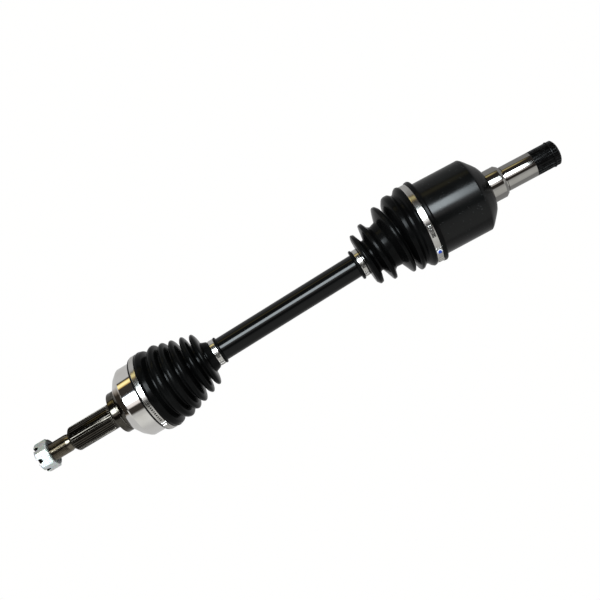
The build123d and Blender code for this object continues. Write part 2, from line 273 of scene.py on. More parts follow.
def along_axle(nodes, coordinates, axle):
    """Distance along an axle, in metres, at each shaded point."""
    offset = nodes.add("ShaderNodeVectorMath", {0: coordinates, 1: tuple(axle.origin)},
                       operation="SUBTRACT").outputs["Vector"]
    return nodes.add("ShaderNodeVectorMath", {0: offset, 1: tuple(axle.along)},
                     operation="DOT_PRODUCT").outputs["Value"]


def turned_steel(name, axle, colour, dark, roughness, line=0.30, depth=0.15):
    """Bare steel with fine rings left by the lathe and faint stains."""
    material, n, shader, where = new_material(name, metallic=1.0)
    distance = along_axle(n, where, axle)
    fine = n.add("ShaderNodeTexNoise", {"W": distance, "Scale": 1000.0 / line, "Detail": 2.0},
                 noise_dimensions="1D").outputs["Fac"]
    stain = n.noise(where, 55.0, 5.0, 0.6)
    cloud = n.spread(stain, 0.42, 0.72)
    tone = n.mix(n.maths("MULTIPLY", cloud, 0.35), colour, dark)
    n.tree.links.new(tone, shader.inputs["Base Color"])
    worn = n.maths("ADD", n.spread(stain, 0.3, 0.8, roughness * 0.85, roughness * 1.35),
                   n.spread(fine, 0.3, 0.7, -0.02, 0.02))
    n.tree.links.new(worn, shader.inputs["Roughness"])
    n.tree.links.new(n.bump(fine, depth, 0.00001), shader.inputs["Normal"])
    return material


def dark_steel(name, colour, light, roughness, relief):
    """Machined steel with an oil film: brown-grey, mottled, brighter on high spots."""
    material, n, shader, where = new_material(name, metallic=1.0)
    mottled = n.noise(where, 240.0, 6.0, 0.65)
    broad = n.noise(where, 45.0, 3.0)
    tone = n.mix(n.spread(mottled, 0.35, 0.75), colour, light)
    tone = n.mix(n.spread(broad, 0.5, 0.8, 0.0, 0.4), tone, tuple(c * 0.55 for c in colour))
    n.tree.links.new(tone, shader.inputs["Base Color"])
    n.tree.links.new(n.spread(mottled, 0.3, 0.8, roughness * 0.8, roughness * 1.4),
                     shader.inputs["Roughness"])
    n.tree.links.new(n.bump(mottled, relief, 0.00004), shader.inputs["Normal"])
    return material


def zinc_plate(name):
    """Bright bluish-white zinc over a pressed surface."""
    material, n, shader, where = new_material(name, metallic=1.0)
    spangle = n.add("ShaderNodeTexVoronoi", {"Vector": where, "Scale": 420.0}).outputs["Color"]
    cloud = n.noise(where, 130.0, 5.0, 0.6)
    tone = n.mix(n.spread(cloud, 0.35, 0.7), (0.76, 0.82, 0.81), (0.60, 0.65, 0.63))
    tone = n.mix(0.12, tone, spangle)
    n.tree.links.new(tone, shader.inputs["Base Color"])
    n.tree.links.new(n.spread(cloud, 0.3, 0.75, 0.42, 0.56), shader.inputs["Roughness"])
    n.tree.links.new(n.bump(cloud, 0.2, 0.00005), shader.inputs["Normal"])
    return material


def band_steel(name):
    """Bright rolled strip: fine scratches round the band and handling marks."""
    material, n, shader, where = new_material(name, metallic=1.0)
    stretched = n.add("ShaderNodeMapping", {"Vector": where, "Scale": (2600.0, 90.0, 90.0)})
    scratch = n.noise(stretched.outputs["Vector"], 1.0, 3.0, 0.6)
    cloud = n.noise(where, 95.0, 4.0)
    tone = n.mix(n.spread(cloud, 0.4, 0.75), (0.60, 0.59, 0.57), (0.47, 0.46, 0.43))
    n.tree.links.new(tone, shader.inputs["Base Color"])
    n.tree.links.new(n.spread(scratch, 0.3, 0.7, 0.15, 0.22), shader.inputs["Roughness"])
    n.tree.links.new(n.bump(scratch, 0.06, 0.00001), shader.inputs["Normal"])
    return material


def boot_rubber(name):
    """Moulded black rubber: fine grain, greyer where it has been handled."""
    material, n, shader, where = new_material(name, Specular_IOR_Level=0.055)
    grain = n.noise(where, 2300.0, 2.0)
    dust = n.noise(where, 38.0, 5.0, 0.6)
    tone = n.mix(n.spread(dust, 0.4, 0.75), (0.0014, 0.0014, 0.0014), (0.0034, 0.0034, 0.0033))
    n.tree.links.new(tone, shader.inputs["Base Color"])
    n.tree.links.new(n.spread(dust, 0.3, 0.75, 0.15, 0.24), shader.inputs["Roughness"])
    swell = n.noise(where, 260.0, 3.0)
    normal = n.bump(swell, 0.10, 0.0001)
    n.tree.links.new(n.bump(grain, 0.12, 0.00003, normal), shader.inputs["Normal"])
    return material


def black_paint(name, colour, gloss, roughness, peel, peel_size, specks=0.0):
    """Sprayed black paint: orange peel, dust specks and slightly uneven gloss."""
    material, n, shader, where = new_material(name, Specular_IOR_Level=gloss)
    skin_noise = n.noise(where, 1.0 / peel_size, 2.0)
    cloud = n.noise(where, 30.0, 5.0, 0.6)
    speck = n.add("ShaderNodeTexVoronoi", {"Vector": where, "Scale": 620.0}).outputs["Distance"]
    near = n.spread(speck, 0.05, 0.13, 1.0, 0.0)
    rare = n.maths("MULTIPLY", near, n.spread(n.noise(where, 150.0), 0.56, 0.60))
    tone = n.mix(n.spread(cloud, 0.35, 0.75), colour, tuple(c * 1.5 for c in colour))
    tone = n.mix(n.maths("MULTIPLY", rare, specks), tone, (0.16, 0.16, 0.16))
    n.tree.links.new(tone, shader.inputs["Base Color"])
    n.tree.links.new(n.spread(cloud, 0.3, 0.75, roughness * 0.85, roughness * 1.2),
                     shader.inputs["Roughness"])
    height = n.maths("ADD", skin_noise, n.maths("MULTIPLY", rare, specks))
    n.tree.links.new(n.bump(height, peel, 0.00012), shader.inputs["Normal"])
    return material


def dab_of_paint(name, colour):
    """Thick marking paint with brush marks."""
    material, n, shader, where = new_material(name)
    brush = n.noise(where, 900.0, 3.0)
    n.tree.links.new(n.mix(n.spread(brush, 0.35, 0.7), colour, tuple(c * 0.8 for c in colour)),
                     shader.inputs["Base Color"])
    n.tree.links.new(n.spread(brush, 0.3, 0.7, 0.30, 0.45), shader.inputs["Roughness"])
    n.tree.links.new(n.bump(brush, 0.3, 0.0001), shader.inputs["Normal"])
    return material


POLISHED = turned_steel("polished_bell_steel", BELL, (0.80, 0.79, 0.77), (0.60, 0.57, 0.52), 0.055)
GROUND = turned_steel("ground_stub_steel", HOUSING, (0.44, 0.43, 0.41), (0.34, 0.32, 0.30), 0.07,
                      line=0.2)
SPLINE_STEEL = dark_steel("hub_spline_steel", (0.052, 0.046, 0.039), (0.085, 0.077, 0.066), 0.13, 0.02)
THREAD_STEEL = dark_steel("thread_steel", (0.15, 0.13, 0.10), (0.22, 0.20, 0.16), 0.16, 0.06)
COLLAR_STEEL = dark_steel("collar_steel", (0.065, 0.060, 0.050), (0.12, 0.11, 0.095), 0.11, 0.04)
HARD_STEEL = dark_steel("hardened_joint_steel", (0.30, 0.29, 0.28), (0.48, 0.47, 0.46), 0.28, 0.2)
BEARING_STEEL = turned_steel("ball_bearing_steel", HOUSING, (0.86, 0.86, 0.87), (0.7, 0.7, 0.72), 0.06)
BLACK_OXIDE = dark_steel("black_oxide_steel", (0.008, 0.008, 0.008), (0.020, 0.020, 0.020), 0.36, 0.2)
ZINC = zinc_plate("zinc_plated_nut")
BAND = band_steel("bright_band_strip")
# Dark steel for the bands' punch marks, and painted shade inside the nut's slots and on the thread within the nut.
MARKS_AND_PAINTED_SHADE = dark_steel("stamped_marks_and_painted_shade", (0.014, 0.013, 0.012), (0.030, 0.028, 0.026), 0.45, 0.1)
RUBBER = boot_rubber("moulded_boot_rubber")
BAR_PAINT = black_paint("bar_gloss_paint", (0.0014, 0.0014, 0.0014), 0.20, 0.10, 0.05, 0.0022)
HOUSING_PAINT = black_paint("housing_satin_paint", (0.0018, 0.0019, 0.0019), 0.21, 0.19, 0.10, 0.0011,
                            1.0)
DAB_WHITE = dab_of_paint("white_paint_dab", (0.80, 0.82, 0.84))
DAB_BLUE = dab_of_paint("blue_paint_dot", (0.006, 0.055, 0.42))


# ---- Bell and hub stub ------------------------------------------------------
# In this section and the next ones, sizes are in millimetres from the joint's centre.
BALL_TRACKS, BELL_ROOM_R, BELL_THROAT_R, BELL_MOUTH_R = 6, 27.4, 26.0, 36.9
BALL_PITCH_R, BALL_TRACK_R, TRACK_HALF_ANGLE = 24.5, 8.0, 21.5
HUB_TEETH, HUB_TIP_R, HUB_ROOT_R = 33, 14.2, 12.85
SPLINE_START, SPLINE_END = 34.6, 91.8
THREAD_PITCH, THREAD_TIP_R, THREAD_ROOT_R = 1.5, 10.0, 9.1
THREAD_START, STUB_END = 96.5, 134.0
NUT_BACK, NUT_FRONT, NUT_FLATS, NUT_CORNER_ROUND = 116.8, 133.0, 30.0, 0.28
NUT_SLOT, NUT_SLOT_DEPTH, NUT_SLOT_REACH = 5.0, 6.3, 14.6
HINGE_ANGLE_OUT = math.pi / 2       # the hinge axis lies across, so the first track does too


def bell_inside(distance, radius, angle):
    """The bell's inside: a ball-shaped room with a track for each ball, open towards the bar."""
    best = radius
    for k in range(BALL_TRACKS):
        offset = angle - HINGE_ANGLE_OUT - 2 * math.pi * k / BALL_TRACKS
        offset = (offset + math.pi) % (2 * math.pi) - math.pi
        if abs(offset) > 0.5:
            continue
        for step in range(-6, 7):
            turn = math.radians(TRACK_HALF_ANGLE) * step / 6
            reach, height = BALL_PITCH_R * math.cos(turn), BALL_PITCH_R * math.sin(turn)
            gap = 0.0 if (step == -6 and distance < height) else distance - height
            left = BALL_TRACK_R ** 2 - (reach * math.sin(offset)) ** 2 - gap ** 2
            if left > 0:
                best = max(best, reach * math.cos(offset) + math.sqrt(left))
    return best


def bell():
    """The bell's shell, with its ball tracks inside."""
    outside = softened([
        (-20.0, 36.8, 0), (-20.0, 39.8, 0.5), (-10.9, 39.8, 0), (-10.2, 40.4, 0.2),
        (6.6, 40.4, 0.5), (8.2, 39.6, 1.2), (14.0, 35.0, 3.5), (18.2, 29.6, 4.0), (22.0, 24.6, 2.5),
        (23.4, 22.9, 0.6), (24.3, 22.7, 0.0)], 6)
    throat = -math.sqrt(BELL_ROOM_R ** 2 - BELL_THROAT_R ** 2)
    inside = [(22.0, 0.01)]
    for distance in spaced(22.0, throat, 1.6):
        inside.append((distance, math.sqrt(BELL_ROOM_R ** 2 - distance ** 2)))
    inside += [(-12.0, 29.1), (-15.0, 31.9), (-18.0, 34.65), (-19.7, 36.2)]
    rings = []
    segments = 240
    for index, (distance, radius) in enumerate(inside + outside):
        ring = []
        for i in range(segments):
            angle = 2 * math.pi * i / segments
            here = radius
            if index < len(inside):
                here = min(bell_inside(distance, radius, angle) if radius > 1 else radius, BELL_MOUTH_R)
            ring.append(BELL.point(distance * MM, here * MM, angle))
        rings.append(ring)
    verts, faces = skin(rings)
    shell = piece("outboard_bell_shell", verts, faces, POLISHED, "outboard_housing")
    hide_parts("outboard_bell")


def hub_collar():
    """The collar that the wheel bearing sits against, and the neck up to the spline."""
    outline = softened([(24.0, 10.0, 0), (24.0, 23.0, 0.3), (24.6, 23.8, 0.5), (30.5, 23.8, 0.5),
                        (31.1, 23.2, 0.3), (31.1, 16.6, 1.6), (31.9, 14.8, 0.8), (34.8, 14.3, 0),
                        (36.0, 13.4, 0), (36.0, 10.0, 0)])
    collar = lathe("hub_collar", BELL, outline, COLLAR_STEEL, "outboard_housing",
                   segments=192)
    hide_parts("outboard_bell")


def tooth(angle, teeth):
    """1 on a tooth's flat top, 0 in the space, with sloping flanks."""
    part = abs((angle * teeth / (2 * math.pi)) % 1.0 - 0.5)
    return smooth((0.37 - part) / 0.17)


def splined(name, axle, teeth, tip, root, start, end, chamfer, runout, material, body):
    """A splined length whose teeth fade out over the runout and end in a rounded chamfer."""
    stations = [start] + spaced(start + 0.2, start + runout, runout / 6)
    stations += spaced(end - chamfer, end, chamfer / 5)

    def shape(distance, radius, angle):
        rise = smooth((distance - start) / runout)
        floor = tip - 0.1 - (tip - 0.1 - root) * rise
        here = floor + (tip - floor) * tooth(angle, teeth)
        lip = distance - (end - chamfer)
        limit = tip if lip < 0 else tip - (tip - root + 3.2) * (lip / chamfer) ** 1.5
        return min(here, limit) if radius > 1 else radius

    outline = [(start, 5.0)] + [(s, tip) for s in stations] + [(end, 5.0)]
    return lathe(name, axle, outline, material, body, segments=teeth * 14, radius=shape,
                 sharp=50.0)


def hub_spline():
    made = splined("hub_spline", BELL, HUB_TEETH, HUB_TIP_R, HUB_ROOT_R, SPLINE_START, SPLINE_END,
                   4.4, 7.0, SPLINE_STEEL, "outboard_housing")
    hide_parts("outboard_bell")


def hub_thread():
    """The threaded end, with a plain relief next to the spline and a cone at the tip. Where the nut covers it, it
    is painted dark as shade.
    """
    stations = [90.5, 91.6] + spaced(92.0, THREAD_START - 1.2, 0.6)
    stations += spaced(THREAD_START - 1.0, STUB_END, THREAD_PITCH / 8)

    def shape(distance, radius, angle):
        if radius < 1:
            return radius
        turn = (distance / THREAD_PITCH + angle / (2 * math.pi)) % 1.0
        flank = min(1.0, abs(turn - 0.5) * 2.3)
        strength = smooth((distance - THREAD_START + 1.2) / 2.4)
        here = THREAD_TIP_R - 0.25 - (THREAD_TIP_R - THREAD_ROOT_R) * flank * strength
        here += 0.25 * strength
        here -= 0.55 * (1 - smooth((distance - THREAD_START + 2.2) / 2.0))
        limit = THREAD_TIP_R - max(0.0, distance - (STUB_END - 1.7)) * 1.0
        return min(here, limit)

    outline = [(90.5, 0.01)] + [(s, 10.0) for s in stations] + [(STUB_END, 0.01)]
    made = lathe("hub_thread", BELL, outline, THREAD_STEEL, "outboard_housing",
                 segments=72, radius=shape, sharp=60.0)
    # The thread's faces inside the nut get the dark material: painted shade.
    made.data.materials.append(MARKS_AND_PAINTED_SHADE)
    for face in made.data.polygons:
        distance = (face.center - BELL.origin).dot(BELL.along) / MM
        if NUT_BACK + 0.5 < distance < NUT_FRONT - 0.5:
            face.material_index = 1
    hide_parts("outboard_bell")


# ---- Hub nut ----------------------------------------------------------------
def nut_turn():
    """The angle, from the top, of one of the CAD nut's corners, found from its farthest points."""
    best = (0.0, 0.0)
    for vertex in frame["nodes"]["hub_nut"].data.vertices:
        arm = vertex.co - BELL.origin
        arm -= BELL.along * arm.dot(BELL.along)
        if arm.length > best[0] + 1e-5:
            best = (arm.length, math.atan2(arm.dot(BELL.low), arm.dot(BELL.top)))
    return best[1]


def cut_by(obj, cutters):
    """Cuts an object by others, which are then removed."""
    for cutter in cutters:
        modifier = obj.modifiers.new("cut", "BOOLEAN")
        modifier.operation = "DIFFERENCE"
        modifier.solver = "EXACT"
        modifier.object = cutter
    applied(obj)
    for cutter in cutters:
        bpy.data.objects.remove(cutter)


def applied(obj):
    """Replaces an object's mesh by what its modifiers make of it."""
    view = bpy.context.view_layer
    view.update()
    mesh = bpy.data.meshes.new_from_object(obj.evaluated_get(bpy.context.evaluated_depsgraph_get()))
    obj.modifiers.clear()
    obj.data = mesh


def hub_nut():
    """The castle nut: a hexagon with six slots in its crown, and its washer face. The faces inside the slots are
    painted dark as shade.
    """
    corner_angle = nut_turn()
    corner_r = NUT_FLATS / math.sqrt(3)

    def shape(distance, radius, angle):
        if radius < 14.0:
            return radius
        part = (angle - corner_angle + math.pi / 6) % (math.pi / 3) - math.pi / 6
        flat = NUT_FLATS / 2 / math.cos(math.pi / 6 - abs(part))
        return min(flat, corner_r - NUT_CORNER_ROUND, radius)

    outline = [(NUT_BACK, 10.6), (NUT_BACK, 13.0), (NUT_BACK, 13.9), (NUT_BACK + 0.1, 14.6)]
    outline += [(NUT_BACK + 0.5, 15.5), (NUT_BACK + 1.0, 17.5)]
    outline += [(s, 17.5) for s in spaced(NUT_BACK + 2.0, NUT_FRONT - 3.0, 1.2)]
    outline += [(NUT_FRONT - 2.2, 17.3), (NUT_FRONT - 1.3, 16.5), (NUT_FRONT - 0.5, 15.6)]
    outline += [(NUT_FRONT - 0.1, 14.8), (NUT_FRONT, 13.9), (NUT_FRONT, 12.4), (NUT_FRONT - 0.2, 11.4)]
    outline += [(NUT_FRONT - 1.2, 10.25), (NUT_BACK + 1.0, 10.25), (NUT_BACK + 0.2, 10.6)]
    nut = lathe("castle_nut", BELL, outline, ZINC, None, segments=216,
                radius=shape, loop=True, sharp=28.0)
    flange = lathe("castle_nut_flange", BELL, softened([
        (NUT_BACK, 10.4, 0), (NUT_BACK, 15.0, 0.3), (NUT_BACK + 0.5, 15.6, 0.4),
        (NUT_BACK + 1.3, 15.5, 0.3), (NUT_BACK + 1.7, 14.7, 0.2), (NUT_BACK + 1.7, 10.4, 0)]),
        ZINC, "hub_nut", segments=144, loop=True)
    cutters = []
    for k in range(3):
        angle = corner_angle + math.pi / 6 + k * math.pi / 3
        cutters.append(slot_cutter(angle))
    cut_by(nut, cutters)
    bevelled(nut, NUT_CORNER_ROUND * MM)
    shade(nut, 34.0)
    # The faces inside the slots get the dark material: painted shade.
    nut.data.materials.append(MARKS_AND_PAINTED_SHADE)
    for face in nut.data.polygons:
        if in_a_slot(face.center, corner_angle):
            face.material_index = 1
    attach(nut, "hub_nut")
    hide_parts("hub_nut")
    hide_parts("hub_nut")


def in_a_slot(point, corner_angle):
    """True inside the nut's slots, whose faces get the dark material as painted shade."""
    arm = point - BELL.origin
    distance = arm.dot(BELL.along) / MM
    if distance < NUT_FRONT - NUT_SLOT_DEPTH - 0.1 or distance > NUT_FRONT - 0.3:
        return False
    radius = (arm - BELL.along * arm.dot(BELL.along)).length / MM
    angle = math.atan2(arm.dot(BELL.low), arm.dot(BELL.top))
    part = (angle - corner_angle) % (math.pi / 3) - math.pi / 6
    return radius < NUT_SLOT_REACH and abs(radius * math.sin(part)) < NUT_SLOT / 2 + 0.05


def slot_cutter(angle):
    """A round-bottomed bar across the nut's crown."""
    half, depth = NUT_SLOT / 2, NUT_SLOT_DEPTH
    section = [(-half, 2.0), (half, 2.0)]
    for k in range(13):
        turn = math.pi * k / 12
        section.append((half * math.cos(turn), -(depth - half) - half * math.sin(turn)))
    rings = []
    for reach in (-24.0, 24.0):
        ring = []
        for across, up in section:
            base = BELL.point((NUT_FRONT + up) * MM, reach * MM, angle)
            side = BELL.point(0, 1.0, angle + math.pi / 2) - BELL.origin
            ring.append(base + side * across * MM)
        rings.append(ring)
    verts, faces = skin(rings)
    return piece("slot_cutter", verts, faces, ZINC, None)


def bevelled(obj, width):
    """Breaks an object's sharp edges."""
    modifier = obj.modifiers.new("edges", "BEVEL")
    modifier.width = width
    modifier.segments = 2
    modifier.limit_method = "ANGLE"
    modifier.angle_limit = math.radians(40)
    applied(obj)


# ---- Bar --------------------------------------------------------------------
def bar():
    """The painted bar, with a seat for each small band and a splined end inside each joint."""
    end = HALF_SPAN / MM - 11.2
    outline = softened([
        (-end, 11.4, 0), (-end, 12.6, 0.2), (-end + 0.6, 13.0, 0.3), (-100.5, 13.0, 0),
        (-100.0, 12.0, 0.3), (-88.6, 12.0, 0.3), (-88.0, 13.0, 0), (0, 13.0, 0), (81.2, 13.0, 0),
        (81.8, 12.3, 0.3), (92.6, 12.3, 0.3), (93.0, 13.0, 0), (end - 0.6, 13.0, 0.3),
        (end, 12.6, 0.2), (end, 11.4, 0)])
    middle = lathe("painted_bar", BAR, outline, BAR_PAINT, "shaft")
    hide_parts("axle_bar")
    for name, axle in (("bar_spline_outboard", OUT_BAR), ("bar_spline_inboard", IN_BAR)):
        made = splined(name, axle, 26, 11.45, 10.6, -11.6, 14.0, 1.4, 1.5, HARD_STEEL, "shaft")
        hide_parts("axle_bar")


# ---- Housing and gearbox stub -----------------------------------------------
ROLLER_PITCH_R, ROLLER_TRACK_R, TRACK_CROWN_R, CORE_R = 24.5, 16.8, 35.8, 27.0


def track_angles():
    """Angles, about the housing, of its three roller tracks: those of the rollers' own axes."""
    found = []
    for number in (1, 2, 3):
        axis = Vector(JOINTS[f"roller_{number}_spin"]["axis"])
        found.append(math.atan2(axis.dot(HOUSING.low), axis.dot(HOUSING.top)))
    return found


TRACK_ANGLES = track_angles()


def housing_inside(distance, radius, angle):
    """The cup's inside: a round core with three roller tracks."""
    best = CORE_R
    for track in TRACK_ANGLES:
        offset = (angle - track + math.pi) % (2 * math.pi) - math.pi
        left = ROLLER_TRACK_R ** 2 - (ROLLER_PITCH_R * math.sin(offset)) ** 2
        if abs(offset) < math.pi / 2 and left > 0:
            best = max(best, ROLLER_PITCH_R * math.cos(offset) + math.sqrt(left))
    return max(min(best, TRACK_CROWN_R), radius)


def housing():
    """The gearbox-end cup, with its roller tracks inside."""
    outside = softened([
        (-31.5, 38.4, 0), (-31.5, 41.4, 0), (-31.0, 42.0, 0.4), (41.0, 42.0, 1.8), (42.8, 40.6, 1.6),
        (45.2, 38.1, 1.0), (51.4, 31.0, 1.5), (54.6, 26.9, 1.6), (56.6, 23.0, 1.5), (57.6, 19.6, 0.6),
        (57.8, 18.3, 0)], 6)
    inside = [(38.5, 0.01), (38.5, 12.0), (38.5, 26.9)]
    inside += [(s, 0.1) for s in (38.4, 20.0, 0.0, -15.0)]
    inside += [(-22.0, 27.0), (-31.2, 37.6)]
    segments = 288
    rings = []
    for index, (distance, height) in enumerate(inside + outside):
        ring = []
        for i in range(segments):
            angle = 2 * math.pi * i / segments
            here = height
            if 3 <= index < len(inside):
                here = housing_inside(distance, height, angle)
            ring.append(HOUSING.point(distance * MM, here * MM, angle))
        rings.append(ring)
    verts, faces = skin(rings)
    cup = piece("housing_cup", verts, faces, HOUSING_PAINT, "inboard_housing")
    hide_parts("inboard_housing")


def gearbox_stub():
    """The ground stub with its seal land, groove and journal, and its blackened spline."""
    outline = softened([
        (53.5, 8.0, 0), (57.0, 17.8, 0), (57.6, 18.3, 0.2), (72.5, 18.3, 0.5), (75.7, 16.0, 0.4),
        (76.1, 12.6, 0.1), (77.7, 12.6, 0.1), (77.9, 14.1, 0.1), (113.0, 14.1, 0.2),
        (113.6, 13.6, 0.1), (114.0, 8.0, 0)])
    made = lathe("ground_stub", HOUSING, outline, GROUND, "inboard_housing")
    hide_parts("inboard_housing")
    end = splined("gearbox_spline_end", HOUSING, 26, 14.1, 13.1, 113.2, 143.7, 3.0, 1.2, BLACK_OXIDE,
                  "inboard_housing")
    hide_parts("inboard_housing")


SNAP_RING_AT, SNAP_RING_R = 135.2, 13.8


def snap_ring():
    """The stub's snap ring: a round wire with a gap."""
    gap, wire = math.radians(14), 1.05
    rings = []
    for i in range(97):
        angle = gap / 2 + (2 * math.pi - gap) * i / 96 + math.radians(60)
        ring = []
        for k in range(12):
            turn = 2 * math.pi * k / 12
            ring.append(HOUSING.point((SNAP_RING_AT + wire * math.cos(turn)) * MM,
                                      (SNAP_RING_R + wire * math.sin(turn)) * MM, angle))
        rings.append(ring)
    verts, faces = skin(rings)
    made = piece("stub_snap_ring", verts, faces, BLACK_OXIDE, "inboard_housing")
    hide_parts("stub_circlip")


# ---- Boots ------------------------------------------------------------------
VALLEY_FLOOR = 0.8              # half the width of a narrow valley's floor
BOOT_WALL = 1.6


def lobe(low, top, high, steps=10):
    """A round fold between two valleys: low, top and high are (distance, radius)."""
    points = [low]
    for k in range(-steps, steps + 1):
        side = low if k < 0 else high
        reach = abs(k) / steps
        width = abs(side[0] - top[0]) - VALLEY_FLOOR
        height = side[1] + (top[1] - side[1]) * math.sqrt(1 - reach ** 2)
        points.append((top[0] + width * k / steps, height))
    return points


class Boot:
    """Where a boot's rings lie: on the joint's outer axis at one end and on the bar at the other."""

    def __init__(self, bar, outer, bend, tilts=()):
        self.bar, self.outer, self.bend, self.tilts = bar, outer, bend, tilts

    def tilt(self, distance):
        """Extra lean of a fold, in degrees, towards the gearbox end on the low side."""
        before = None
        for here in self.tilts:
            if distance <= here[0]:
                if before is None:
                    return here[1]
                return before[1] + (here[1] - before[1]) * smooth(
                    (distance - before[0]) / (here[0] - before[0]))
            before = here
        return before[1] if before else 0.0

    def ring(self, distance, radius, segments):
        part = smooth((self.bend[1] - distance) / (self.bend[1] - self.bend[0]))
        along = (self.bar.along * (1 - part) + self.outer.along * part).normalized()
        centre = ((self.bar.origin - self.bar.along * distance * MM) * (1 - part)
                  + (self.outer.origin - self.outer.along * distance * MM) * part)
        here = Axle(centre, along)
        lean = math.tan(math.radians(self.tilt(distance)))
        ring = []
        for i in range(segments):
            angle = 2 * math.pi * i / segments
            shake = noise.noise(Vector((distance * 0.06, 1.2 * math.cos(angle), 1.2 * math.sin(angle))))
            grown = (radius + 0.25 * shake) * MM
            point = here.point(0, grown, angle)
            ring.append(point + Vector((1, 0, 0)) * lean * grown * math.sin(angle))
        return ring


def boot_piece(name, boot, outline, inner, start, end, node):
    """One length of a boot as a closed wall, in place of its CAD node."""
    segments = 128
    rings = [boot.ring(d, r, segments) for d, r in outline]
    rings += [boot.ring(d, r, segments) for d, r in reversed(inner)]
    verts, faces = skin(rings, loop=True)
    made = piece(name, verts, faces, RUBBER, None, sharp=42.0)
    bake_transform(made)
    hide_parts(node)
    return made


def centre_of(boot, distance):
    """The middle of a boot's ring at a distance from the joint's centre."""
    ring = boot.ring(distance, 10.0, 16)
    return sum(ring, Vector()) / len(ring)


def outboard_boot():
    """The wheel-end boot, split in a valley into a wide and a narrow length."""
    boot = Boot(OUT_BAR, BELL, (31.0, 78.0))
    valleys = [(31.2, 35.9), (43.8, 33.4), (53.9, 28.7), (64.3, 22.4), (74.8, 20.9), (85.0, 17.9)]
    crests = [(39.0, 43.4), (49.1, 40.4), (58.8, 37.6), (69.9, 34.2), (80.0, 31.0)]
    outline = softened([(10.4, 40.8, 0), (10.3, 42.9, 0.6), (11.4, 43.9, 0.6), (12.5, 43.8, 0.1),
                        (12.7, 43.2, 0.1), (19.2, 43.2, 0.1), (19.5, 44.3, 0.4), (22.4, 45.1, 2.2),
                        (27.2, 43.6, 2.6), (30.2, 36.4, 0.5), (31.2, 35.9, 0)])[:-1]
    for number, crest in enumerate(crests):
        outline += lobe(valleys[number], crest, valleys[number + 1])
    split = next(i for i, p in enumerate(outline) if p[0] >= valleys[1][0] - 1e-6)
    outline += softened([(85.0, 17.9, 0), (86.2, 17.2, 1.0), (90.2, 15.6, 1.5), (91.2, 14.4, 0.3),
                         (97.9, 14.4, 0.2), (98.3, 15.3, 0.4), (99.9, 15.5, 0.8), (100.8, 14.2, 0.5),
                         (100.7, 12.2, 0)])
    wide, narrow = outline[:split + 1], outline[split:]
    wide_in = [(min(max(d, 10.6), 99), 40.5 if d < 20.6 else r - BOOT_WALL) for d, r in wide]
    narrow_in = [(min(d, 100.5), 12.15 if d > 90 else max(15.0, r - BOOT_WALL) if d < 84 else 14.8)
                 for d, r in narrow]
    middle = centre_of(boot, valleys[1][0])
    boot_piece("outboard_boot_wide", boot, wide, wide_in,
               middle, centre_of(boot, 19.0), "outboard_boot")
    boot_piece("outboard_boot_narrow", boot, narrow, narrow_in,
               centre_of(boot, 65.0), middle, "outboard_boot")


def inboard_boot():
    """The gearbox-end boot, split into a wide and a narrow length."""
    tilts = ((44.0, 0.0), (54.0, 4.8), (62.0, 5.2), (80.0, 4.0), (94.0, 2.4), (100.0, 0.0))
    boot = Boot(IN_BAR, HOUSING, (40.0, 92.0), tilts)
    outline = softened([
        (16.6, 43.6, 0), (16.4, 46.4, 0.8), (18.2, 47.3, 0.9), (20.8, 46.9, 0.5), (21.3, 44.9, 0.1),
        (29.2, 44.9, 0.1), (29.6, 46.6, 0.4), (32.0, 47.1, 1.2), (34.4, 45.4, 1.4), (37.4, 41.6, 1.2),
        (39.6, 41.2, 1.2), (43.6, 44.3, 2.4), (48.0, 44.5, 2.8), (50.4, 38.8, 3.0), (52.4, 29.8, 0.8),
        (54.0, 29.6, 0.8), (55.2, 38.2, 2.2), (57.4, 41.3, 1.8), (60.0, 41.3, 2.2), (62.6, 35.0, 4.0),
        (65.6, 27.2, 2.0), (72.2, 25.8, 2.5), (75.0, 28.0, 2.5), (77.8, 35.0, 1.8), (81.6, 35.4, 2.2),
        (83.6, 27.0, 3.0), (85.6, 19.6, 0.9), (88.0, 19.4, 0.9), (91.4, 29.8, 1.6), (95.2, 31.0, 2.0),
        (97.4, 27.0, 1.2), (97.9, 17.6, 0.6), (98.3, 15.5, 0.2), (104.2, 15.5, 0.2), (104.6, 17.1, 0.4),
        (106.2, 17.6, 0.6), (107.5, 16.6, 0.6), (107.4, 12.6, 0)], 6)
    split = next(i for i, p in enumerate(outline) if p[0] >= 45.8)
    wide, narrow = outline[:split + 1], outline[split:]
    wide_in = [(max(d, 16.9), 42.15 if d < 31.8 else r - BOOT_WALL) for d, r in wide]
    narrow_in = [(min(d, 107.2), 12.45 if d > 97.2 else max(16.0, r - BOOT_WALL)) for d, r in narrow]
    middle = centre_of(boot, outline[split][0])
    boot_piece("inboard_boot_wide", boot, wide, wide_in,
               middle, centre_of(boot, 31.0), "inboard_boot")
    boot_piece("inboard_boot_narrow", boot, narrow, narrow_in,
               centre_of(boot, 76.0), middle, "inboard_boot")


# ---- Bands ------------------------------------------------------------------
LAP_GAP, LAP_DEPTH = 0.9, 0.55      # the slot at a strip's end: half its width in degrees, its depth


def punched(marks):
    """Depth of stamped marks at a point: marks are (low angle, high angle, low part, high part,
    depth), with angles in degrees from the top and parts across the strip from 0 to 1."""
    def depth(angle, across):
        found = 0.0
        for low, high, near, far, amount in marks:
            if low <= angle <= high and near <= across <= far:
                found = max(found, amount)
        return found
    return depth


